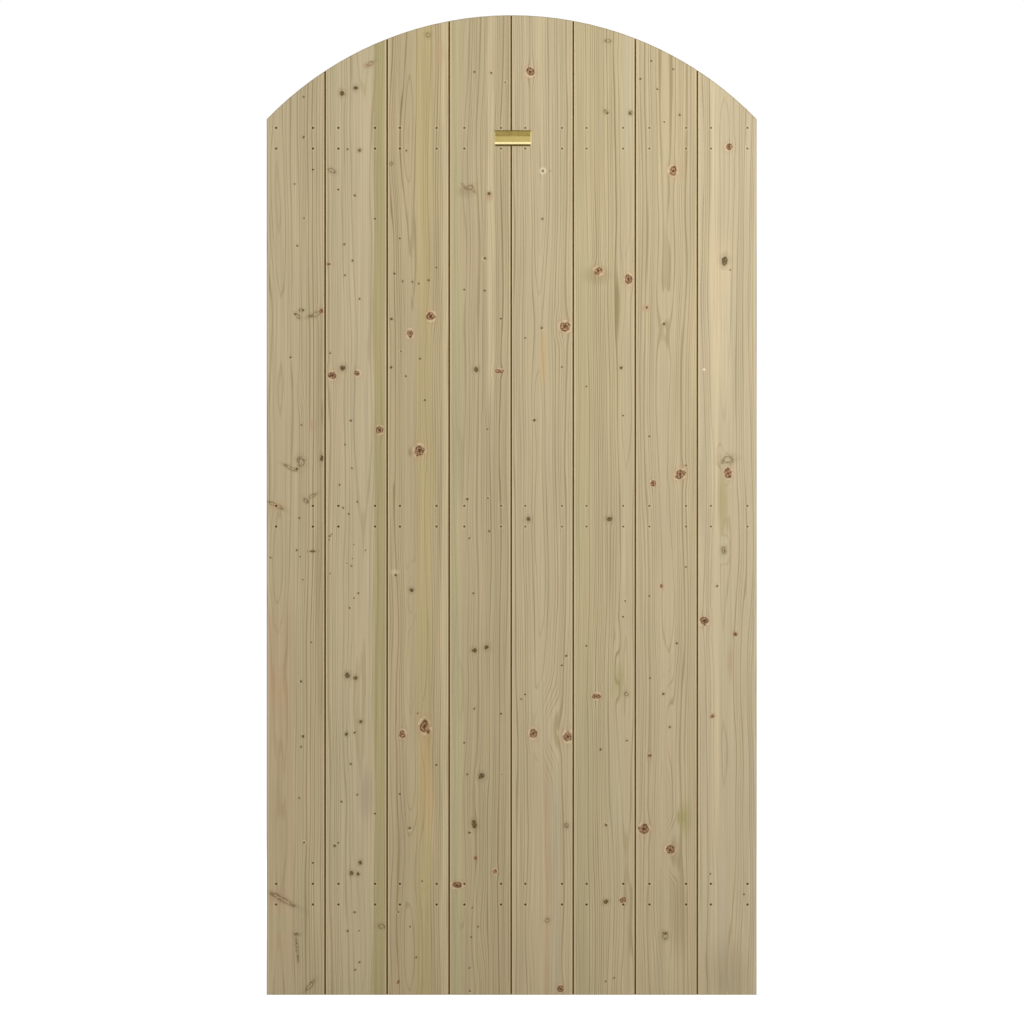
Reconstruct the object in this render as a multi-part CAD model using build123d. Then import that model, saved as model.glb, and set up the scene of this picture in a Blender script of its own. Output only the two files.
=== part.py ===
from build123d import *
import math
import os

# An arched gate of upright tongue and groove boards, nailed from the front to three
# level ledges and two sloping braces. Millimetres, +Z up. The boarded face looks
# towards -Y. The origin lies on the ground line, in the middle of the gate's width and
# of its depth from the badge to the back of the ledges.

# Boards. A cover width runs from one joint line to the next. The two outer boards are
# sawn down, and their widths run from the sawn edge to the joint line.
cover_width = 114.0
full_boards = 6
left_board_width = 107.0
right_board_width = 109.0
board_thickness = 15.0

# Outline of the boarded face
shoulder_height = 1609.0
arch_rise = 191.0

# Tongue and groove joint. Gaps are measured between the shoulders of two boards, and
# reaches from the joint line in the middle of the face gap.
face_gap = 2.6
back_gap = 1.0
face_arris = 0.8
tongue_thickness = 5.0
tongue_reach = 6.0
tongue_chamfer = 0.7
tongue_side_clearance = 0.25
tongue_end_clearance = 1.0

# Ledges and braces, planed all round
batten_width = 70.0
batten_thickness = 35.0
batten_arris = 3.0
bottom_ledge_height = 150.0

# Nails, flat-sided and driven below the face. Distances are from a joint line or a sawn
# edge to the nearest column of nails.
nail_length = 45.0
nail_shank_width = 2.0
nail_shank_height = 1.6
nail_point_length = 4.0
nail_head_width = 3.2
nail_head_height = 2.8
nail_head_thickness = 1.4
nail_set_depth = 0.8
nail_joint_distance = 23.3
nail_sawn_distance = 17.0
ledge_nail_spacing = 38.0
# How far right of the even spacing each board's nails were driven, left board first
nail_drift = (1.0, 1.0, 0.0, 4.5, 2.5, 1.0, 2.5, 1.7)

# Badge, a bare bevelled plate across the middle joint, with one raised bead. Its
# thickness runs to the crest of the bead.
badge_width = 69.0
badge_height = 29.0
badge_thickness = 3.0
badge_plate_thickness = 2.4
badge_bevel = 2.0
badge_offset = 2.0
badge_bead_radius = 1.2
badge_bead_drop = 9.2

# Sizes that follow from the ones above
gate_width = left_board_width + full_boards * cover_width + right_board_width
gate_height = shoulder_height + arch_rise
half_width = gate_width / 2
board_count = full_boards + 2
joint_lines = [
    left_board_width + index * cover_width - half_width for index in range(full_boards + 1)
]
board_edges = [-half_width, *joint_lines, half_width]

badge_front_y = -(badge_thickness + board_thickness + batten_thickness) / 2
board_front_y = badge_front_y + badge_thickness
board_back_y = board_front_y + board_thickness
batten_middle_y = board_back_y + batten_thickness / 2

top_ledge_z = shoulder_height - batten_width / 2
bottom_ledge_z = bottom_ledge_height + batten_width / 2
middle_ledge_z = (top_ledge_z + bottom_ledge_z) / 2


def board_section(index):
    """Cross-section of one board seen from above, tongue on the right, groove on the left."""
    left_line = board_edges[index]
    right_line = board_edges[index + 1]
    tongue_front = board_front_y + (board_thickness - tongue_thickness) / 2
    tongue_back = tongue_front + tongue_thickness

    if index == 0:
        left_side = [(left_line, board_back_y), (left_line, board_front_y)]
    else:
        face_shoulder = left_line + face_gap / 2
        back_shoulder = left_line + back_gap / 2
        groove_bottom = left_line + tongue_reach + tongue_end_clearance
        left_side = [
            (back_shoulder, board_back_y),
            (back_shoulder, tongue_back + tongue_side_clearance),
            (groove_bottom, tongue_back + tongue_side_clearance),
            (groove_bottom, tongue_front - tongue_side_clearance),
            (face_shoulder, tongue_front - tongue_side_clearance),
            (face_shoulder, board_front_y + face_arris),
            (face_shoulder + face_arris, board_front_y),
        ]

    if index == board_count - 1:
        right_side = [(right_line, board_front_y), (right_line, board_back_y)]
    else:
        face_shoulder = right_line - face_gap / 2
        back_shoulder = right_line - back_gap / 2
        tongue_tip = right_line + tongue_reach
        right_side = [
            (face_shoulder - face_arris, board_front_y),
            (face_shoulder, board_front_y + face_arris),
            (face_shoulder, tongue_front),
            (tongue_tip - tongue_chamfer, tongue_front),
            (tongue_tip, tongue_front + tongue_chamfer),
            (tongue_tip, tongue_back - tongue_chamfer),
            (tongue_tip - tongue_chamfer, tongue_back),
            (back_shoulder, tongue_back),
            (back_shoulder, board_back_y),
        ]

    return Polygon(*left_side, *right_side, align=None)


def arched_blank():
    """The gate's arched outline, thicker than the boards, which trims their tops."""
    arch = ThreePointArc(
        (-half_width, shoulder_height), (0, gate_height), (half_width, shoulder_height)
    )
    sides = Polyline(
        (half_width, shoulder_height),
        (half_width, 0),
        (-half_width, 0),
        (-half_width, shoulder_height),
    )
    outline = make_face(arch.edges() + sides.edges())
    return extrude(Plane.XZ * outline, amount=gate_width, both=True)


def ledge(centre_z):
    """A level bar across the whole width, with its long arrises rounded."""
    section = RectangleRounded(batten_thickness, batten_width, batten_arris)
    return Pos(0, batten_middle_y, centre_z) * extrude(Plane.YZ * section, amount=half_width, both=True)


def brace_angle(clear_height):
    """Slope of a brace whose long points touch both side edges of the gate."""
    diagonal = math.hypot(gate_width, clear_height)
    return math.atan2(clear_height, gate_width) + math.asin(batten_width / diagonal)


def brace(lower_ledge_z, upper_ledge_z, rises_to_left):
    """A sloping bar whose two ends are cut level to sit flat against the ledges."""
    clear_height = upper_ledge_z - lower_ledge_z - batten_width
    slope = math.degrees(brace_angle(clear_height))
    turn = slope if rises_to_left else -slope
    section = RectangleRounded(batten_thickness, batten_width, batten_arris)
    bar = extrude(Plane.YZ * section, amount=gate_width, both=True)
    between_ledges = Box(2 * gate_width, 2 * batten_thickness, clear_height)
    middle = Pos(0, batten_middle_y, (lower_ledge_z + upper_ledge_z) / 2)
    return middle * (Rot(0, turn, 0) * bar & between_ledges)


def nail_columns():
    """The x of every column of nails, two columns to a board."""
    columns = []
    for index in range(board_count):
        drift = nail_drift[index % len(nail_drift)]
        left = board_edges[index] + nail_joint_distance + drift
        right = board_edges[index + 1] - nail_joint_distance + drift
        if index == 0:
            left = board_edges[index] + nail_sawn_distance
        if index == board_count - 1:
            right = board_edges[index + 1] - nail_sawn_distance
        columns += [left, right]
    return columns


def ledge_nail_places(ledge_z):
    """Two rows of nails, one in every column."""
    rows = (ledge_z - ledge_nail_spacing / 2, ledge_z + ledge_nail_spacing / 2)
    return [(x, z) for x in nail_columns() for z in rows]


def brace_nail_places(lower_ledge_z, upper_ledge_z, rises_to_left):
    """One nail in each column along the brace's centre line, clear of its cut ends."""
    clear_height = upper_ledge_z - lower_ledge_z - batten_width
    rise = math.tan(brace_angle(clear_height))
    if rises_to_left:
        rise = -rise
    middle_z = (lower_ledge_z + upper_ledge_z) / 2
    return [(x, middle_z + rise * x) for x in nail_columns()[1:-2]]


def nail():
    """One nail along +Y, its place on the board's face at the origin."""
    tip = nail_set_depth + nail_length
    side_view = Polygon(
        (nail_set_depth, -nail_shank_height / 2),
        (tip - nail_point_length, -nail_shank_height / 2),
        (tip, 0),
        (tip - nail_point_length, nail_shank_height / 2),
        (nail_set_depth, nail_shank_height / 2),
        align=None,
    )
    shank = extrude(Plane.YZ * side_view, amount=nail_shank_width / 2, both=True)
    head = Pos(0, nail_set_depth + nail_head_thickness / 2, 0) * Box(
        nail_head_width, nail_head_thickness, nail_head_height
    )
    return shank + head


def nail_hole():
    """The room that a driven nail takes, with the pocket that its head left in the face."""
    pocket = Pos(0, nail_set_depth / 2, 0) * Box(nail_head_width, nail_set_depth, nail_head_height)
    return nail() + pocket


def at_places(shape, places):
    """Copies of a shape at places on the boards' face."""
    return [Pos(x, board_front_y, z) * shape for x, z in places]


def badge():
    """A bevelled plate on the face of the boards, with a raised bead low on its front."""
    plate = Box(badge_width, badge_plate_thickness, badge_height)
    plate = chamfer(plate.faces().sort_by(Axis.Y)[0].edges(), badge_bevel)
    plate = Pos(badge_offset, board_front_y - badge_plate_thickness / 2, top_ledge_z) * plate
    bead = Rot(0, 90, 0) * Cylinder(badge_bead_radius, badge_width - 4 * badge_bevel)
    bead_y = badge_front_y + badge_bead_radius
    return plate + Pos(badge_offset, bead_y, top_ledge_z - badge_bead_drop) * bead


ledges = {
    "top_ledge": top_ledge_z,
    "middle_ledge": middle_ledge_z,
    "bottom_ledge": bottom_ledge_z,
}
# Each brace's lower ledge, its upper ledge and whether it rises to the left
braces = {
    "upper_brace": (middle_ledge_z, top_ledge_z, True),
    "lower_brace": (bottom_ledge_z, middle_ledge_z, False),
}

pieces = {}
nail_places = {}
for name, height in ledges.items():
    pieces[name] = ledge(height)
    nail_places[name] = ledge_nail_places(height)
for name, position in braces.items():
    pieces[name] = brace(*position)
    nail_places[name] = brace_nail_places(*position)

one_nail = nail()
one_hole = nail_hole()
for name, places in nail_places.items():
    pieces[name] = pieces[name].cut(*at_places(one_hole, places))
    pieces[name + "_nails"] = Compound(children=at_places(one_nail, places))

blank = arched_blank()
for index in range(board_count):
    board = extrude(board_section(index), amount=gate_height) & blank
    left_line = board_edges[index]
    right_line = board_edges[index + 1]
    in_board = [
        (x, z) for places in nail_places.values() for x, z in places if left_line < x < right_line
    ]
    pieces[f"board_{index + 1}"] = board.cut(*at_places(one_hole, in_board))

pieces["badge"] = badge()

os.makedirs("parts", exist_ok=True)
for name, piece in pieces.items():
    export_step(piece, f"parts/{name}.step")
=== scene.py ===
import math
from collections import namedtuple
from functools import partial

import bpy
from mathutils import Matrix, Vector


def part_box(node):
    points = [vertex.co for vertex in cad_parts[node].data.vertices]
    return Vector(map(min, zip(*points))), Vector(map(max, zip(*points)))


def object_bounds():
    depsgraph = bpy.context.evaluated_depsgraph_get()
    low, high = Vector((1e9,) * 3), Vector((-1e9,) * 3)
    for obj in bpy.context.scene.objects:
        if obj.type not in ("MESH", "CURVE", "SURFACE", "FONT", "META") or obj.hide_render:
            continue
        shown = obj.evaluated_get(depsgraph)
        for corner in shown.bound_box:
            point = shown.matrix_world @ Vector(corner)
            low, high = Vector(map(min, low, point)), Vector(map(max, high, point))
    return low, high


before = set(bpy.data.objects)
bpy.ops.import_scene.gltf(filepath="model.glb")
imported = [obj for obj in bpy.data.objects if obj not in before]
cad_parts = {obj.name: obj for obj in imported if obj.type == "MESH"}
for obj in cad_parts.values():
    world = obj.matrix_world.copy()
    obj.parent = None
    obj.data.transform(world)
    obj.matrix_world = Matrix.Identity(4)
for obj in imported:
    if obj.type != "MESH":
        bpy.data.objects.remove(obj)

cad_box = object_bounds()

# The looks of an arched garden gate of treated softwood boards. Places and sizes on the
# wood are in millimetres, measured across a board from its middle and up from the
# ground. Scene sizes are in metres.

MM = 0.001
BOARD_NAMES = [f"board_{number}" for number in range(1, 9)]
BATTEN_NAMES = ["top_ledge", "middle_ledge", "bottom_ledge", "upper_brace", "lower_brace"]

GATE_HIGH = Vector(cad_box[1])
FACE_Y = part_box("board_4")[0][1]
ledge_low, ledge_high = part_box("top_ledge")
middle_ledge_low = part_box("middle_ledge")[0]
LEDGE_WIDTH = ledge_high[2] - ledge_low[2]
LEDGE_SPACING = (ledge_low[2] - middle_ledge_low[2]) / MM
MIDDLE_LEDGE = (middle_ledge_low[2] + LEDGE_WIDTH / 2) / MM
NAIL_ROW_SPACING = 38.0
NAIL_COLUMN_SPACING = 67.4
BADGE_BEAD_HEIGHT = 5.3

# The arch is part of a circle through the gate's top and its two shoulders.
ARCH_TOP = GATE_HIGH.z / MM
HALF_GATE = GATE_HIGH.x / MM
ARCH_RISE = ARCH_TOP - ledge_high[2] / MM
ARCH_RADIUS = (HALF_GATE ** 2 + ARCH_RISE ** 2) / (2 * ARCH_RISE)

# How far a knot pushes the grain aside: its reach across and up, counted in half knots,
# and the share of the way that the grain gives at most
KNOT_REACH = 3.2
KNOT_STRETCH = 6.0
KNOT_PUSH = 0.6

# How softly a stripe ends at its sides and at its two ends
STRIPE_BLUR = 2.5
STRIPE_FADE = 60.0

# Heights below and above every board, for stripes that run out of it
FOOT = -100
CROWN = 1900

# How bright the white surround is as a light on the gate
SURROUND = 0.38


def paint(red, green, blue):
    """A colour as read off a screen, 0 to 255, in the linear form that shaders take."""
    return tuple(((level / 255 + 0.055) / 1.055) ** 2.4 for level in (red, green, blue)) + (1.0,)


class Field:
    """A value that varies over a surface, so that shader maths reads as Python."""

    def __init__(self, finish, socket):
        self.finish = finish
        self.socket = socket

    def __add__(self, other):
        return self.finish.math("ADD", self, other)

    def __radd__(self, other):
        return self.finish.math("ADD", other, self)

    def __sub__(self, other):
        return self.finish.math("SUBTRACT", self, other)

    def __rsub__(self, other):
        return self.finish.math("SUBTRACT", other, self)

    def __mul__(self, other):
        return self.finish.math("MULTIPLY", self, other)

    def __truediv__(self, other):
        return self.finish.math("DIVIDE", self, other)

    def __abs__(self):
        return self.finish.math("ABSOLUTE", self)


class Finish:
    """A material or the world while it is being made, with one method for each thing in it."""

    def __init__(self, owner):
        self.owner = owner
        owner.use_nodes = True
        self.tree = owner.node_tree
        self.tree.nodes.clear()

    def node(self, kind, sockets, output=0, **settings):
        """Any node: its settings first, then the values or links of its sockets."""
        node = self.tree.nodes.new(kind)
        for name, value in settings.items():
            setattr(node, name, value)
        for key, value in sockets.items():
            if isinstance(value, Field):
                self.tree.links.new(value.socket, node.inputs[key])
            else:
                node.inputs[key].default_value = value
        return Field(self, node.outputs[output]) if node.outputs else None

    def math(self, operation, first, second=0.0):
        return self.node("ShaderNodeMath", {0: first, 1: second}, operation=operation)

    def vector(self, operation, *values):
        """Vector maths that gives a vector or a colour."""
        return self.node("ShaderNodeVectorMath", dict(enumerate(values)), operation=operation)

    def number(self, operation, *values):
        """Vector maths that gives one number: a length, a distance or a dot product."""
        return self.node("ShaderNodeVectorMath", dict(enumerate(values)), 1, operation=operation)

    def join(self, x, y, z):
        return self.node("ShaderNodeCombineXYZ", {0: x, 1: y, 2: z})

    def split(self, vector):
        first = self.node("ShaderNodeSeparateXYZ", {0: vector})
        return [Field(self, socket) for socket in first.socket.node.outputs]

    def place(self):
        """Where a point lies on the object, in metres."""
        return self.node("ShaderNodeTexCoord", {}, "Object")

    def ramp(self, value, low, high, bottom=0.0, top=1.0):
        """A smooth step from bottom at the low value to top at the high one."""
        sockets = {0: value, 1: low, 2: high, 3: bottom, 4: top}
        return self.node("ShaderNodeMapRange", sockets, interpolation_type="SMOOTHSTEP")

    def mix(self, amount, first, second):
        return self.node("ShaderNodeMix", {0: amount, 6: first, 7: second}, 2, data_type="RGBA")

    def noise(self, place, across, along, seed, detail=1.0):
        """Clouds from about -1 to 1, of a size across and along the grain in millimetres."""
        shape = (1 / across, 1 / along, 0.0)
        shifted = self.vector("MULTIPLY_ADD", place, shape, (17.3 * seed, 29.7 * seed, 0.0))
        sockets = {"Vector": shifted, "Scale": 1.0, "Detail": detail}
        cloud = self.node("ShaderNodeTexNoise", sockets, noise_dimensions="2D")
        return cloud * 4.0 - 2.0

    def background_rays(self):
        """1 for the rays that show the background: seen, mirrored or let through."""
        outputs = ("Is Camera Ray", "Is Glossy Ray", "Is Transmission Ray")
        return total_of([self.node("ShaderNodeLightPath", {}, output) for output in outputs])

    def surface(self, colour, roughness, height=None, **sockets):
        """The shader itself, with a bump from a height in millimetres."""
        sockets = {"Base Color": colour, "Roughness": roughness} | sockets
        if height is not None:
            bump = {"Strength": 1.0, "Distance": MM, "Height": height}
            sockets["Normal"] = self.node("ShaderNodeBump", bump)
        shader = self.node("ShaderNodeBsdfPrincipled", sockets)
        self.node("ShaderNodeOutputMaterial", {"Surface": shader})
        return self.owner


# How a board was cut from the log: where the middle of the tree lies across the board and
# below its face, how fast it comes nearer with height in millimetres a metre, how wide the
# rings are, and how far the grain sways sideways and in depth.
Growth = namedtuple("Growth", "pith depth taper ring sway wander")
# A branch cut across, with its half width, half height and tilt in degrees
Knot = namedtuple("Knot", "across up half_width half_height tilt", defaults=(0.0,))
# A stretch where the rings swell, so that the grain closes into an eye round it
Swell = namedtuple("Swell", "across up half_width half_height rise")
# A band of another colour along the grain
Stripe = namedtuple("Stripe", "across half_width low high colour strength")
# A soft oval of another colour
Patch = namedtuple("Patch", "across up half_width half_height colour strength")

GREEN = paint(160, 149, 98)
PALE_GREEN = paint(180, 171, 128)
YELLOW = paint(186, 168, 118)
PINK = paint(184, 154, 122)
CREAM = paint(216, 198, 160)
GREY = paint(186, 173, 143)
ORANGE = paint(196, 156, 108)
SHADE = paint(146, 130, 94)
BROWN = paint(78, 54, 8)
# Painted shade for the depths of the joints between boards
JOINT_SHADE = paint(136, 104, 16)
SAWN_END = paint(138, 116, 76)
SAWN_EDGE = paint(120, 104, 76)
GROWN_OVER_LINE = paint(98, 71, 37)
KNOT_HALO = paint(186, 142, 108)
KNOT_LIGHT = paint(182, 140, 106)
KNOT_BROWN = paint(104, 72, 44)
KNOT_RIM = paint(78, 48, 24)
KNOT_CORE = paint(66, 40, 20)
DEAD_KNOT = paint(72, 52, 26)
DEAD_KNOT_LIGHT = paint(122, 97, 58)


def total_of(fields):
    """Several fields added up."""
    total = fields[0]
    for field in fields[1:]:
        total = total + field
    return total


def nearest_of(finish, distances):
    """The smallest of several distances."""
    nearest = distances[0]
    for distance in distances[1:]:
        nearest = finish.math("MINIMUM", nearest, distance)
    return nearest


def oval_distance(finish, grain, oval, stretch=1.0):
    """How far a place lies from an oval's middle, counted as 1 on the oval's edge."""
    wide = oval.half_width
    high = oval.half_height * stretch
    if getattr(oval, "tilt", 0.0):
        sockets = {
            "Vector": grain,
            "Location": (oval.across, oval.up, 0.0),
            "Rotation": (0.0, 0.0, math.radians(oval.tilt)),
            "Scale": (wide, high, 1.0),
        }
        offset = finish.node("ShaderNodeMapping", sockets, vector_type="TEXTURE")
    else:
        shift = (-oval.across / wide, -oval.up / high, 0.0)
        offset = finish.vector("MULTIPLY_ADD", grain, (1 / wide, 1 / high, 0.0), shift)
    return finish.number("LENGTH", offset)


def nearest_knot(finish, grain, knots):
    """How far a place lies from the nearest knot, counted as 1 on the knot's edge."""
    return nearest_of(finish, [oval_distance(finish, grain, knot) for knot in knots])


def grain_round_knots(finish, grain, across, knots):
    """How far the grain is pushed aside by the knots."""
    pushes = []
    for knot in knots:
        reach = knot._replace(half_width=KNOT_REACH * knot.half_width, tilt=0.0)
        distance = oval_distance(finish, grain, reach, KNOT_STRETCH)
        pushes.append((across - knot.across) * finish.ramp(distance, 1.0, 0.0, 0.0, KNOT_PUSH))
    return total_of(pushes)


def late_wood(finish, across, up, deep, grain, growth, seed, knots, swells):
    """Where the dark lines of the rings show, from 0 to 1."""
    sideways = across - growth.pith + finish.noise(grain, 150, 420, seed) * growth.sway
    if knots:
        sideways = sideways - grain_round_knots(finish, grain, across, knots)
    wander = finish.noise(grain, 400, 330, seed + 1) * growth.wander
    below = deep + growth.depth + wander - up * (growth.taper * MM)
    radius = finish.number("LENGTH", finish.join(sideways, below, 0.0))
    # 0 where the rings lie flat in the face, nearly 1 where they stand upright in it
    steepness = abs(sideways) / radius
    if swells:
        distances = [oval_distance(finish, grain, swell) for swell in swells]
        bulges = [
            finish.ramp(distance, 1.5, 0.0, 0.0, swell.rise)
            for distance, swell in zip(distances, swells)
        ]
        radius = radius + total_of(bulges)
    # The rings waver along the board, and poor years lie beside good ones
    waver = finish.noise(grain, 12, 220, seed + 2) * 0.16
    years = finish.noise(finish.join(radius, 0.0, 0.0), 13, 1.0, seed + 9, 0.0) * 0.7
    ring = radius / growth.ring + (waver + years)
    part = finish.math("FRACT", ring)
    year = finish.math("FLOOR", ring)
    chance = finish.node("ShaderNodeTexWhiteNoise", {"W": year}, noise_dimensions="1D")
    # A line darkens slowly and ends sharply. It is thin and faint where rings lie flat.
    start = 0.86 - steepness * 0.36
    line = finish.ramp(part, start, 0.9) * finish.ramp(part, 1.0, 0.96)
    return line * (0.35 + chance * 0.65) * (0.26 + steepness * 0.74)


def tint(finish, colour, grain, swayed, up, stripes, patches):
    """Bands and blots of other colours."""
    for stripe in stripes:
        aside = abs(swayed - stripe.across)
        side = finish.ramp(aside, stripe.half_width + STRIPE_BLUR, stripe.half_width - STRIPE_BLUR)
        amount = side * stripe.strength
        if stripe.low > FOOT:
            amount = amount * finish.ramp(up, stripe.low - STRIPE_FADE, stripe.low + STRIPE_FADE)
        if stripe.high < CROWN:
            amount = amount * finish.ramp(up, stripe.high + STRIPE_FADE, stripe.high - STRIPE_FADE)
        colour = finish.mix(amount, colour, stripe.colour)
    for patch in patches:
        distance = oval_distance(finish, grain, patch)
        amount = finish.ramp(distance, 1.4, 0.3, 0.0, patch.strength)
        colour = finish.mix(amount, colour, patch.colour)
    return colour


def draw_pins(finish, colour, grain, speck, uneven, pins):
    """Pin knots: dark points with a shade and a pale crescent round them."""
    distances = [
        finish.number("DISTANCE", grain, (across, up, 0.0)) / radius for across, up, radius in pins
    ]
    distance = nearest_of(finish, distances) + speck * 0.15 + uneven * 0.2
    colour = finish.mix(finish.ramp(distance, 3.2, 1.3) * 0.2, colour, SHADE)
    crescent = finish.ramp(abs(distance - 2.1), 0.7, 0.2) * finish.ramp(uneven, 0.1, 0.8)
    colour = finish.mix(crescent * 0.5, colour, CREAM)
    return finish.mix(finish.ramp(distance, 1.35, 0.65) * 0.85, colour, BROWN)


def draw_rings(finish, colour, grain, speck, uneven, rings):
    """Knots that are nearly grown over: a ragged brown line round clear wood."""
    distance = nearest_knot(finish, grain, rings) + speck * 0.22 + uneven * 0.25
    colour = finish.mix(finish.ramp(distance, 2.6, 1.1) * 0.2, colour, SHADE)
    line = finish.ramp(abs(distance - 0.8), 0.45, 0.05) * finish.ramp(speck, -1.2, 0.2)
    return finish.mix(line * 0.7, colour, GROWN_OVER_LINE)


def draw_live_knots(finish, colour, grain, speck, uneven, knots):
    """Reddish knots with a warm halo, a pale ring, a dark rim and a dark core."""
    distance = nearest_knot(finish, grain, knots) + speck * 0.08 + uneven * 0.2
    halo = finish.ramp(distance, 3.0, 0.9) * finish.ramp(uneven, -1.6, 0.8)
    colour = finish.mix(halo * 0.45, colour, KNOT_HALO)
    pale = finish.ramp(abs(distance - 1.45), 0.35, 0.1) * finish.ramp(uneven, -0.2, 0.6)
    colour = finish.mix(pale * 0.6, colour, CREAM)
    heart = finish.mix(finish.ramp(speck, -0.35, 0.35), KNOT_LIGHT, KNOT_BROWN)
    colour = finish.mix(finish.ramp(distance, 1.12, 0.88) * 0.92, colour, heart)
    rim = finish.ramp(abs(distance - 0.92), 0.22, 0.04) * finish.ramp(uneven, 0.9, -0.3)
    colour = finish.mix(rim * 0.85, colour, KNOT_RIM)
    return finish.mix(finish.ramp(distance, 0.42, 0.2) * 0.8, colour, KNOT_CORE)


def draw_dead_knots(finish, colour, grain, speck, uneven, knots):
    """Dark knots with a soft shade round them."""
    distance = nearest_knot(finish, grain, knots) + speck * 0.1 + uneven * 0.25
    colour = finish.mix(finish.ramp(distance, 3.0, 1.0) * 0.35, colour, SHADE)
    heart = finish.mix(finish.ramp(speck, -0.3, 0.7), DEAD_KNOT, DEAD_KNOT_LIGHT)
    return finish.mix(finish.ramp(distance, 1.2, 0.75) * 0.88, colour, heart)


def weaker_nail_shade(finish, x, z):
    """Where the painted shade of the nails is weaker, which is on the right and above the bottom
    ledge.
    """
    return finish.ramp(x, -260.0, 60.0) * finish.ramp(z, 450.0, 850.0)


def nail_rings_and_shade(finish, colour, across, up, weaker_shade):
    """A pale ring round each nail in the ledges, and a dark rim of painted shade for the nail's hole.
    """
    from_middle = abs(up - MIDDLE_LEDGE)
    rows = finish.math("MINIMUM", abs(from_middle - LEDGE_SPACING), from_middle)
    aside = abs(abs(across) - NAIL_COLUMN_SPACING / 2)
    distance = finish.number("LENGTH", finish.join(aside, abs(rows - NAIL_ROW_SPACING / 2), 0.0))
    colour = finish.mix(finish.ramp(distance, 5.6, 3.4) * 0.22, colour, CREAM)
    # Painted shade in the nail's hole, weaker on the right and higher up
    rim = finish.ramp(distance, 2.9, 1.9) * (0.7 - weaker_shade * 0.4)
    return finish.mix(rim, colour, BROWN)


def board_edges(finish, colour, across, deep, up, middle, half_width):
    """Painted highlights on the arrises and painted shade in the depths at the joints, and a darker
    line along the sawn outline.
    """
    to_edge = half_width - abs(across)
    from_middle = across + middle
    above = finish.math("MAXIMUM", up - (ARCH_TOP - ARCH_RADIUS), 0.0)
    to_arch = ARCH_RADIUS - finish.number("LENGTH", finish.join(from_middle, above, 0.0))
    to_side = HALF_GATE - abs(from_middle)
    at_joint = finish.ramp(to_side, 1.0, 3.0)
    # Painted highlight on the arrises beside each joint
    colour = finish.mix(finish.ramp(to_edge, 4.4, 2.6) * at_joint * 0.7, colour, CREAM)
    # Painted shade in the depths of the joints
    depth = finish.ramp(deep, 0.05, 1.0) * finish.ramp(to_edge, 2.6, 2.0)
    colour = finish.mix(depth * at_joint * 0.9, colour, JOINT_SHADE)
    # A darker band painted along the sawn outline
    outline = nearest_of(finish, [to_arch, to_side, up + 0.5])
    return finish.mix(finish.ramp(outline, 2.2, 0.4) * 0.5, colour, SAWN_EDGE)


def timber(
    name, middle, turn, seed, growth, pale, dark, stripes=(), patches=(), pins=(), rings=(),
    knots=(), dark_knots=(), swells=(), edges=None, nail_shift=None,
):
    """Planed softwood. The grain runs up before the piece is turned about +Y by turn."""
    finish = Finish(bpy.data.materials.new(name))
    sockets = {
        "Vector": finish.place(),
        "Location": middle,
        "Rotation": (0.0, turn, 0.0),
        "Scale": (MM, MM, MM),
    }
    place = finish.node("ShaderNodeMapping", sockets, vector_type="TEXTURE")
    across, deep, up = finish.split(place)
    grain = finish.join(across, up, 0.0)

    late = late_wood(finish, across, up, deep, grain, growth, seed, (*knots, *dark_knots), swells)
    fibre = finish.noise(grain, 2.4, 260, seed + 3)
    streak = finish.noise(grain, 13, 600, seed + 4)
    cloud = finish.noise(grain, 50, 260, seed + 5)
    speck = finish.noise(grain, 3.0, 3.6, seed + 6)
    swayed = across + finish.noise(grain, 60, 260, seed + 7) * 2.5
    uneven = finish.noise(grain, 11, 9, 40)

    colour = finish.mix(late, pale, dark)
    colour = finish.mix(finish.ramp(streak, 0.0, 1.0) * 0.16, colour, PALE_GREEN)
    colour = finish.mix(finish.ramp(cloud, 0.0, 1.0) * 0.12, colour, PINK)
    colour = tint(finish, colour, grain, swayed, up, stripes, patches)
    tone = 1.0 + fibre * 0.085 + streak * 0.03 + cloud * 0.03
    colour = finish.vector("MULTIPLY", colour, finish.join(tone, tone, tone))
    drawings = (
        (draw_pins, pins),
        (draw_rings, rings),
        (draw_live_knots, knots),
        (draw_dead_knots, dark_knots),
    )
    for draw, places in drawings:
        if places:
            colour = draw(finish, colour, grain, speck, uneven, places)

    # Sawn ends are darker
    normal = finish.node("ShaderNodeTexCoord", {}, "Normal")
    along = abs(finish.number("DOT_PRODUCT", normal, (math.sin(turn), 0.0, math.cos(turn))))
    colour = finish.mix(finish.ramp(along, 0.3, 0.65) * 0.45, colour, SAWN_END)
    # Painted shade round the nail holes, weaker on the right and higher up
    if nail_shift is not None:
        weaker_shade = weaker_nail_shade(finish, across + middle[0] / MM, up)
        colour = nail_rings_and_shade(finish, colour, across - nail_shift, up, weaker_shade)
    if edges:
        colour = edges(finish, colour, across, deep, up)
    return finish.surface(colour, 0.7 + fibre * 0.05, fibre * 0.03, **{"Specular IOR Level": 0.15})


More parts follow.
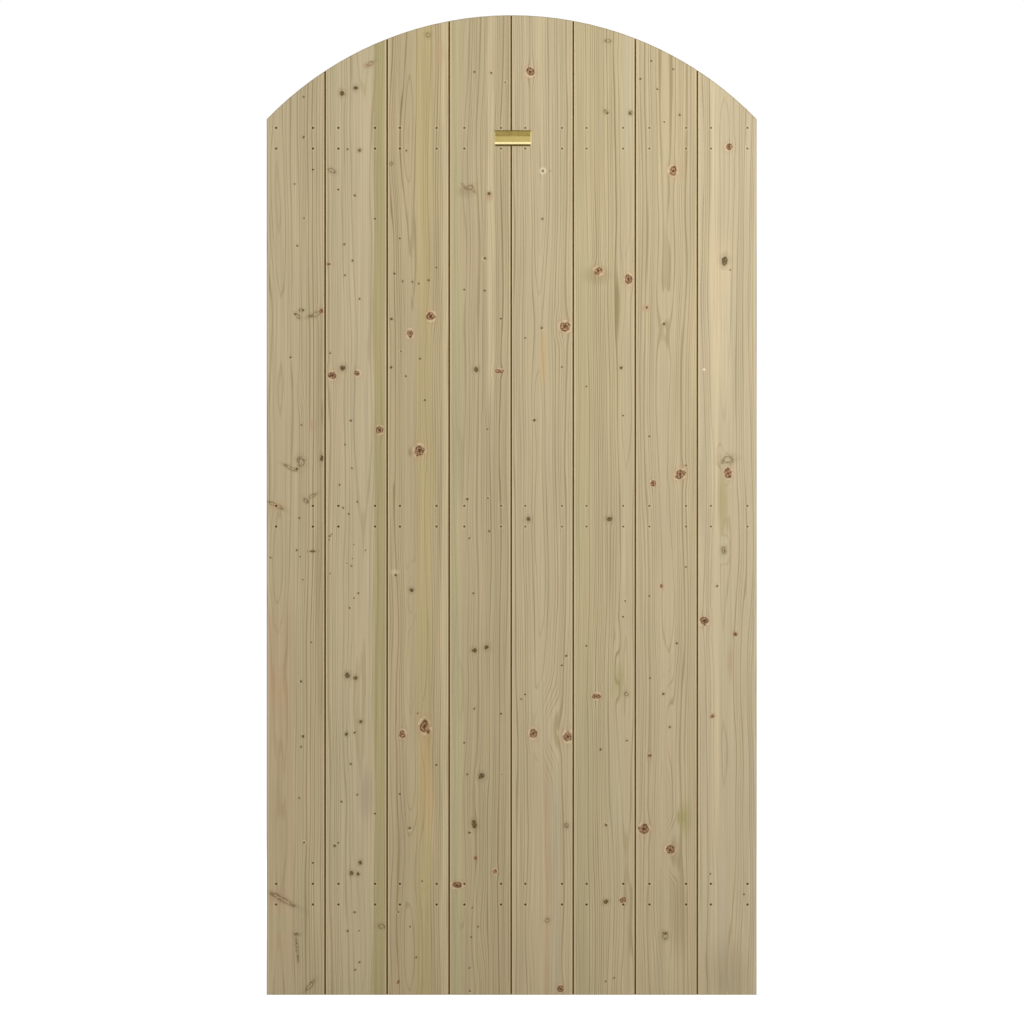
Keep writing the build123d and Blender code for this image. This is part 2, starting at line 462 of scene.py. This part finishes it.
# The boards from left to right. The pale colour is the early wood and the dark one the late
# wood. The shift says how far right of a board's middle its nails lie. A pin is a tiny knot,
# given by its place and radius, and a ring is a knot that is nearly grown over.
BOARDS = [
    dict(
        nail_shift=-2.7,
        growth=Growth(-30, 34, 5, 4.2, 4, 3),
        pale=paint(190, 174, 139),
        dark=paint(142, 120, 82),
        stripes=[Stripe(-30, 26, 40, 720, PINK, 0.3), Stripe(44, 6, 500, 1250, SHADE, 0.35)],
        patches=[
            Patch(-33, 560, 16, 38, ORANGE, 0.25), Patch(31, 1047, 8, 13, PINK, 0.6),
            Patch(48, 1068, 2.5, 24, SHADE, 0.7), Patch(-34, 898, 16, 10, ORANGE, 0.5),
            Patch(-34, 180, 18, 16, PINK, 0.7), Patch(-30, 130, 24, 20, PALE_GREEN, 0.5),
        ],
        pins=[
            (14, 1650, 1.6), (14, 1576, 2.2), (-3, 1490, 1.6), (15, 1427, 1.6), (2, 1376, 1.6),
            (13, 1258, 1.8), (-2, 1251, 2.2), (-10, 1171, 1.6), (10, 1047, 1.5), (6, 876, 1.6),
            (1, 817, 1.8), (7, 805, 1.2), (13, 763, 1.2), (-47, 803, 1.6), (28, 648, 1.3),
            (9, 576, 2.0), (13, 475, 2.2), (9, 456, 2.0), (6, 362, 1.6), (15, 280, 2.0),
            (2, 112, 1.6),
        ],
        knots=[Knot(48, 1256, 5, 4)],
        rings=[
            Knot(-38, 900, 17, 3, -27), Knot(-44, 903, 8, 2, -27), Knot(-26, 176, 29, 4, -28),
            Knot(-32, 180, 16, 2, -30), Knot(2, 84, 2.5, 20, 5), Knot(2, 111, 6, 3),
            Knot(26, 17, 13, 3.5, 50), Knot(36, 1251, 13, 4, 20), Knot(3, 1247, 6, 3, -50),
            Knot(10, 1258, 4, 3), Knot(-10, 968, 13, 3, -25), Knot(9, 980, 7, 9, 20),
            Knot(31, 917, 10, 3, 30), Knot(18, 909, 6, 4, -50),
        ],
        dark_knots=[Knot(2, 966, 2.4, 2.4), Knot(48, 985, 3.5, 6), Knot(31, 815, 6, 1.4)],
        swells=[Swell(7, 1108, 9, 34, 5)],
    ),
    dict(
        nail_shift=1.0,
        growth=Growth(10, 40, 6, 4.0, 4, 3),
        pale=paint(191, 176, 142),
        dark=paint(144, 128, 86),
        stripes=[Stripe(43, 11, FOOT, CROWN, GREEN, 0.6)],
        patches=[
            Patch(18, 370, 14, 50, paint(158, 142, 122), 0.4), Patch(22, 1708, 10, 6, PINK, 0.8),
        ],
        pins=[
            (-16, 1554, 1.6), (6, 1552, 1.8), (-3, 1469, 2.4), (-22, 1379, 1.8), (-7, 1349, 1.6),
            (-21, 1322, 1.6), (6, 1279, 1.6), (-48, 1179, 1.6), (-10, 1055, 1.8), (-21, 1011, 1.6),
            (-8, 968, 1.6), (-31, 937, 1.6), (2, 906, 1.6), (-24, 895, 1.6), (-14, 884, 1.6),
            (-49, 843, 1.6), (-50, 836, 1.2), (-46, 846, 1.2), (17, 817, 1.6), (-17, 793, 1.2),
            (-9, 788, 1.4), (-7, 802, 1.2), (-5, 828, 1.2), (-48, 774, 1.4), (-4, 729, 1.2),
            (4, 738, 1.8), (-12, 711, 1.6), (-3, 482, 2.0), (-10, 424, 1.8), (2, 368, 1.6),
            (-27, 355, 1.8), (-40, 274, 2.2), (-3, 152, 1.8), (-16, 117, 1.8), (5, 118, 1.6),
            (6, 60, 1.6), (-2, 46, 1.6),
        ],
        knots=[
            Knot(-51, 1343, 6, 2), Knot(-44, 1138, 6.5, 6), Knot(2, 1142, 5, 5),
            Knot(43, 1038, 6, 6),
        ],
        dark_knots=[
            Knot(-26, 1657, 4.5, 4.5), Knot(-1, 1666, 4, 4), Knot(-25, 1152, 4.5, 5),
            Knot(-16, 587, 4.5, 5), Knot(-1, 582, 3.4, 3.4), Knot(8, 502, 3.5, 3),
            Knot(-18, 479, 3, 3), Knot(-9, 224, 3.5, 4, 20), Knot(3, 222, 2.6, 3),
            Knot(7, 243, 3, 4, -20),
        ],
        rings=[
            Knot(-45, 1514, 8, 4, -30), Knot(6, 1552, 4, 3, 30), Knot(27, 1712, 8, 3, 30),
            Knot(46, 126, 7, 4.5),
        ],
    ),
    dict(
        nail_shift=0.0,
        growth=Growth(-14, 28, 9, 4.3, 5, 4),
        pale=paint(184, 167, 131),
        dark=paint(130, 110, 66),
        stripes=[
            Stripe(11, 14, FOOT, CROWN, YELLOW, 0.5), Stripe(48, 5, FOOT, CROWN, CREAM, 0.45),
            Stripe(14, 12, 330, 480, ORANGE, 0.3),
        ],
        patches=[
            Patch(-11, 1270, 2.5, 15, SHADE, 0.6), Patch(-15, 997, 4, 9, SHADE, 0.7),
            Patch(-43, 777, 9, 5, CREAM, 0.5), Patch(38, 1730, 12, 26, PINK, 0.5),
        ],
        pins=[
            (-22, 1551, 1.6), (-44, 1325, 1.8), (19, 1313, 1.8), (-29, 1311, 1.6), (-11, 1310, 1.6),
            (1, 1307, 1.6), (-49, 1242, 2.4), (-32, 1183, 1.6), (3, 1169, 1.8), (-50, 1153, 2.0),
            (-23, 1137, 1.8), (12, 1093, 1.8), (-42, 771, 2.2), (-1, 517, 1.6), (-16, 306, 2.4),
            (7, 209, 1.6), (-37, 152, 1.6), (-15, 125, 1.6), (-4, 69, 1.6),
        ],
        knots=[
            Knot(23, 1247, 6.5, 7.5), Knot(-15, 1215, 5, 7), Knot(2, 1000, 8, 9.5, -20),
            Knot(12, 493, 8, 12, 15), Knot(-29, 479, 5.5, 6.5), Knot(-37, 24, 3, 3),
        ],
        dark_knots=[Knot(-13, 744, 4, 4)],
        rings=[Knot(18, 1764, 5, 5), Knot(-50, 1527, 4, 3, 30)],
        swells=[Swell(-13, 738, 8, 60, 6), Swell(11, 492, 16, 70, 6)],
    ),
    dict(
        nail_shift=4.5,
        growth=Growth(-36, 28, 7, 4.0, 5, 4),
        pale=paint(182, 166, 132),
        dark=paint(139, 121, 80),
        stripes=[
            Stripe(-44, 10, FOOT, CROWN, PALE_GREEN, 0.5), Stripe(18, 6, 1100, CROWN, CREAM, 0.4),
        ],
        pins=[
            (-11, 1696, 1.8), (20, 1694, 1.8), (46, 1677, 1.6), (8, 1353, 2.2), (8, 1294, 1.8),
            (13, 1039, 1.4), (14, 913, 1.8), (-24, 911, 2.0), (16, 852, 1.6), (-20, 839, 1.6),
            (-13, 738, 1.6), (-11, 526, 2.0), (39, 406, 1.2), (-24, 405, 1.6), (-20, 298, 2.2),
            (-15, 160, 1.6), (-4, 125, 1.6), (-17, 106, 1.6), (-20, 49, 1.6), (-19, 7, 1.6),
        ],
        knots=[
            Knot(35, 1146, 7, 3.5), Knot(-9, 251, 3, 3), Knot(27, 227, 4, 4), Knot(-44, 202, 9, 5),
        ],
        patches=[Patch(16, 1466, 7, 10, PINK, 0.9), Patch(-26, 1476, 18, 12, SHADE, 0.35)],
        dark_knots=[
            Knot(16, 1472, 3, 3), Knot(-8, 1149, 4, 4), Knot(-11, 633, 4.2, 4.2),
            Knot(11, 638, 4.2, 4.2), Knot(2, 402, 5.5, 5.5), Knot(-11, 313, 4.5, 7, 15),
        ],
        rings=[
            Knot(-22, 1483, 9, 4, 20), Knot(-20, 1482, 5, 3, -40), Knot(-31, 1487, 5, 2, -50),
            Knot(-13, 1478, 6, 2, -50),
        ],
        swells=[Swell(-4, 128, 18, 85, 9), Swell(7, 1056, 6, 16, 3)],
    ),
    dict(
        nail_shift=2.5,
        growth=Growth(-4, 24, 12, 4.6, 5, 4),
        pale=paint(189, 173, 139),
        dark=paint(151, 133, 95),
        stripes=[
            Stripe(0, 5, 1140, 1200, ORANGE, 0.6), Stripe(8, 5, FOOT, 400, PINK, 0.5),
            Stripe(23, 9, FOOT, 420, GREY, 0.5),
        ],
        patches=[
            Patch(1, 1514, 6.5, 6.5, paint(232, 220, 186), 0.9), Patch(14, 1514, 4, 2, SHADE, 0.4),
        ],
        pins=[
            (1, 1514, 2.6), (0, 1426, 1.8), (-1, 1225, 2.0), (-15, 1056, 2.4), (44, 623, 2.0),
            (-39, 544, 1.4),
        ],
        knots=[
            Knot(-22, 1696, 7, 7), Knot(42, 1228, 9, 8), Knot(-17, 480, 6.5, 7.5),
            Knot(47, 475, 7, 9), Knot(33, 11, 5, 5.5),
        ],
        dark_knots=[Knot(-26, 874, 4, 4)],
        rings=[Knot(44, 311, 4.5, 4.5), Knot(9, 137, 4.5, 4.5)],
        swells=[Swell(9, 490, 22, 80, 19), Swell(0, 1222, 26, 120, 6)],
    ),
    dict(
        nail_shift=1.0,
        growth=Growth(40, 26, 6, 3.7, 4, 3),
        pale=paint(188, 172, 137),
        dark=paint(132, 115, 70),
        stripes=[
            Stripe(-38, 18, FOOT, CROWN, PALE_GREEN, 0.3), Stripe(42, 9, 1560, CROWN, GREY, 0.7),
            Stripe(22, 11, 266, 505, GREY, 0.5),
        ],
        patches=[Patch(26, 578, 9, 32, GREEN, 0.5), Patch(-14, 1322, 26, 18, SHADE, 0.4)],
        pins=[
            (5, 1620, 2.4), (47, 1620, 2.4), (31, 1152, 2.4), (38, 724, 1.6), (41, 467, 1.6),
            (-7, 451, 1.8), (3, 312, 2.2), (18, 31, 1.6), (3, 25, 1.6),
        ],
        knots=[
            Knot(-11, 1330, 7, 6), Knot(44, 1315, 6, 8), Knot(-15, 549, 7, 5), Knot(34, 174, 5, 5),
        ],
        dark_knots=[Knot(9, 874, 5, 4), Knot(2, 171, 4.5, 3.5, 20)],
        rings=[
            Knot(6, 1753, 6, 3), Knot(40, 553, 4, 4), Knot(3, 1622, 6, 3, -40),
            Knot(48, 1621, 4, 4),
        ],
        swells=[Swell(31, 1277, 10, 75, 7), Swell(26, 652, 8, 30, 4), Swell(26, 560, 8, 25, 4)],
    ),
    dict(
        nail_shift=2.5,
        growth=Growth(-2, 26, 10, 4.3, 5, 5),
        pale=paint(189, 173, 139),
        dark=paint(148, 130, 90),
        patches=[
            *[Patch(across, 327, 2.5, 15, GREEN, 0.9) for across in (22, 28, 34)],
            Patch(34, 325, 12, 36, GREEN, 0.5), Patch(20, 150, 20, 80, SHADE, 0.3),
            Patch(-38, 1262, 9, 8, PINK, 0.9),
        ],
        pins=[
            (-28, 1716, 1.6), (12, 1701, 1.6), (-48, 1683, 1.6), (-17, 1664, 1.6), (24, 1617, 1.8),
            (-4, 1604, 1.6), (-5, 1233, 2.6), (19, 646, 1.8), (-30, 582, 1.6), (-6, 553, 2.2),
            (6, 492, 1.8), (-2, 112, 2.2), (-36, 1263, 1.8),
        ],
        rings=[Knot(-2, 109, 6, 7)],
        knots=[
            Knot(12, 1514, 7, 7.5), Knot(25, 957, 9, 7, 35), Knot(-24, 940, 5, 5),
            Knot(-10, 751, 3, 3), Knot(-31, 440, 3, 3), Knot(-42, 305, 9, 8), Knot(7, 267, 7, 7),
        ],
        swells=[Swell(-5, 1225, 14, 66, 6), Swell(3, 501, 10, 90, 6), Swell(7, 262, 15, 52, 15)],
    ),
    dict(
        nail_shift=4.0,
        growth=Growth(-6, 32, 8, 4.9, 5, 4),
        pale=paint(190, 175, 143),
        dark=paint(142, 123, 80),
        stripes=[
            Stripe(-7, 13, 1080, 1368, CREAM, 0.42), Stripe(-24, 7, FOOT, CROWN, CREAM, 0.35),
            Stripe(-12, 14, FOOT, 280, GREY, 0.5),
        ],
        patches=[
            Patch(6, 610, 6, 32, PINK, 0.6), Patch(0, 40, 40, 60, SHADE, 0.3),
            Patch(-8, 905, 10, 60, GREEN, 0.6),
            Patch(-42, 1149, 2.6, 2.6, paint(234, 224, 194), 0.8),
        ],
        pins=[(6, 1332, 1.4), (-5, 816, 1.8), (-18, 751, 2.4), (-31, 222, 1.6), (31, 185, 1.6)],
        knots=[
            Knot(4, 1558, 5.5, 5.5), Knot(2, 959, 6.5, 8), Knot(-42, 687, 7, 7),
            Knot(-27, 512, 3.5, 3.5), Knot(15, 663, 3.2, 3.2),
        ],
        dark_knots=[Knot(-4, 1349, 5.5, 7.5)],
        rings=[Knot(-6, 816, 5, 7), Knot(1, 983, 12, 7, 10)],
        swells=[Swell(-2, 964, 14, 60, 8), Swell(-5, 816, 10, 25, 5), Swell(-13, 1001, 8, 30, 4)],
    ),
]


def dress(node, material):
    """Gives a piece of the gate its material."""
    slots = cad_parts[node].data.materials
    slots.clear()
    slots.append(material)


def dress_boards():
    """Each board in its own wood."""
    lines = [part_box(name)[0][0] for name in BOARD_NAMES] + [GATE_HIGH.x]
    for number, (name, wood) in enumerate(zip(BOARD_NAMES, BOARDS)):
        # A board's box starts half a joint to the right of the joint line
        middle = (lines[number] + lines[number + 1]) / 2
        half_width = (lines[number + 1] - lines[number]) / 2 / MM
        edges = partial(board_edges, middle=middle / MM, half_width=half_width)
        material = timber(name + "_wood", (middle, FACE_Y, 0.0), 0.0, number + 1, edges=edges, **wood)
        dress(name, material)


def brace_slope(name):
    """Slope of a brace, from the space between its ledges."""
    low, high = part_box(name)
    width = high[0] - low[0]
    height = high[2] - low[2]
    return math.atan2(height, width) + math.asin(LEDGE_WIDTH / math.hypot(width, height))


def dress_battens():
    """The ledges have level grain and the braces sloping grain."""
    slopes = {"upper_brace": brace_slope("upper_brace"), "lower_brace": -brace_slope("lower_brace")}
    for number, name in enumerate(BATTEN_NAMES):
        low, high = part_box(name)
        wood = timber(
            name + "_wood",
            middle=tuple((low[axis] + high[axis]) / 2 for axis in range(3)),
            turn=math.pi / 2 + slopes.get(name, 0.0),
            seed=21 + number,
            growth=Growth(-20 + 9 * number, 30, 12, 4.6, 8, 7),
            pale=paint(186, 169, 134),
            dark=paint(146, 126, 88),
            knots=[Knot(-12, -210 + 70 * number, 6, 7), Knot(16, 260 - 40 * number, 5, 5)],
            pins=[(8, -60, 1.8), (-20, 120, 1.6), (22, -330, 1.8)],
        )
        dress(name, wood)


def face_place(finish):
    """Places on the front in millimetres: across, up and in depth."""
    x, y, z = finish.split(finish.place())
    return finish.join(x / MM, z / MM, y / MM)


def dress_nails():
    """Dull steel, painted dark brown for the shade in the nail holes, and lighter on the right and
    higher up, where that painted shade is weaker.
    """
    finish = Finish(bpy.data.materials.new("nail_steel"))
    place = face_place(finish)
    x, z, _ = finish.split(place)
    # Two dark browns in blotches: painted shade in the nail holes
    shade_blotch = finish.noise(place, 25, 25, 3)
    colour = finish.mix(finish.ramp(shade_blotch, -0.6, 0.8), paint(70, 52, 18), paint(98, 76, 36))
    # Painted shade made weaker on the right and higher up
    colour = finish.mix(weaker_nail_shade(finish, x, z) * 0.75, colour, paint(122, 104, 68))
    steel = finish.surface(colour, 0.7, **{"Metallic": 0.2, "Specular IOR Level": 0.1})
    for name in BATTEN_NAMES:
        dress(name + "_nails", steel)


def dress_badge():
    """Satin brass, dull on the flat and lighter on its lower part, with painted highlights on the
    bead and at both ends, painted shade under the bead and a painted dark reflection along the top.
    """
    finish = Finish(bpy.data.materials.new("badge_brass"))
    place = face_place(finish)
    x, z, _ = finish.split(place)
    left, _, bottom = (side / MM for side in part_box("badge")[0])
    right, _, top = (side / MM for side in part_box("badge")[1])
    bead = bottom + BADGE_BEAD_HEIGHT
    brushed = finish.noise(place, 30, 0.5, 5, 2.0)
    dull = finish.noise(place, 14, 8, 6, 2.0)
    colour = finish.mix(finish.ramp(dull, -0.8, 0.8), paint(144, 126, 66), paint(122, 104, 50))
    colour = finish.mix(finish.ramp(brushed, -1.0, 1.0) * 0.25, colour, paint(160, 142, 84))
    lower_flat = finish.ramp(z, bead + 13.5, bead + 11.5)
    colour = finish.mix(lower_flat * 0.45, colour, paint(196, 178, 114))
    # Painted highlight along the bead's crest
    bead_highlight = finish.ramp(abs(z - bead), 2.2, 1.4)
    colour = finish.mix(bead_highlight * 0.9, colour, paint(246, 232, 176))
    # Painted shade on the bead's lower slope
    bead_underside_shade = finish.ramp(z, bead - 1.4, bead - 2.2)
    colour = finish.mix(bead_underside_shade * 0.9, colour, paint(78, 62, 18))
    # Painted highlight on the bevels at both ends
    end_highlight = finish.ramp(nearest_of(finish, [right - x, x - left]), 2.6, 1.6)
    colour = finish.mix(end_highlight * 0.75, colour, paint(240, 226, 168))
    # Painted dark reflection along the top bevel
    top_dark_reflection = finish.ramp(z, top - 2.2, top - 1.4)
    colour = finish.mix(top_dark_reflection * 0.6, colour, paint(104, 86, 34))
    dress("badge", finish.surface(colour, 0.3 + dull * 0.05, brushed * 0.01, Metallic=0.8))


def make_floor():
    """A wide pale floor that keeps the gate's shadow."""
    bpy.ops.mesh.primitive_plane_add(size=40.0)
    floor = bpy.context.object
    floor.name = "floor"
    finish = Finish(bpy.data.materials.new("floor_white"))
    lit = finish.node("ShaderNodeBsdfDiffuse", {"Color": (0.6, 0.6, 0.6, 1.0)})
    # The glow fills up what the light leaves short of white, from the gate outwards
    glow = finish.ramp(finish.number("LENGTH", finish.place()), 0.8, 3.0, 0.71, 0.79)
    plain = finish.node("ShaderNodeEmission", {"Strength": finish.background_rays() * glow})
    shown = finish.node("ShaderNodeAddShader", {0: lit, 1: plain})
    finish.node("ShaderNodeOutputMaterial", {"Surface": shown})
    floor.data.materials.append(finish.owner)


def make_lamp(name, size, power, place):
    """A soft square lamp that shines at the middle of the gate."""
    lamp = bpy.data.lights.new(name, "AREA")
    lamp.size = size
    lamp.energy = power
    holder = bpy.data.objects.new(name, lamp)
    bpy.context.collection.objects.link(holder)
    holder.location = place
    aim = Vector((0.0, 0.0, GATE_HIGH.z / 2)) - holder.location
    holder.rotation_euler = aim.to_track_quat("-Z", "Y").to_euler()


def make_light():
    """An even surround that is seen as white, and a large soft lamp in front and behind."""
    world = bpy.data.worlds.new("studio")
    bpy.context.scene.world = world
    finish = Finish(world)
    level = finish.ramp(finish.background_rays(), 0.0, 1.0, SURROUND, 1.0)
    white = {"Color": (1.0, 1.0, 1.0, 1.0), "Strength": level}
    background = finish.node("ShaderNodeBackground", white)
    finish.node("ShaderNodeOutputWorld", {"Surface": background})
    make_lamp("window", 1.6, 68.0, (1.3, -2.3, 2.25))
    make_lamp("rear_window", 2.4, 80.0, (-1.9, 3.4, 2.2))


def make_camera():
    """Straight on, from far away, with the gate filling the frame's height."""
    frame_height = 1.8815
    middle_x = 0.0006
    middle_z = 0.8872
    camera = bpy.data.cameras.new("camera")
    camera.lens = 200.0
    camera.sensor_width = 36.0
    holder = bpy.data.objects.new("camera", camera)
    bpy.context.collection.objects.link(holder)
    distance = frame_height * camera.lens / camera.sensor_width
    holder.location = (middle_x, FACE_Y - distance, middle_z)
    holder.rotation_euler = (math.pi / 2, 0.0, 0.0)
    bpy.context.scene.camera = holder


make_camera()
make_light()
make_floor()
dress_boards()
dress_battens()
dress_nails()
dress_badge()

bpy.context.scene.view_settings.view_transform = "Standard"
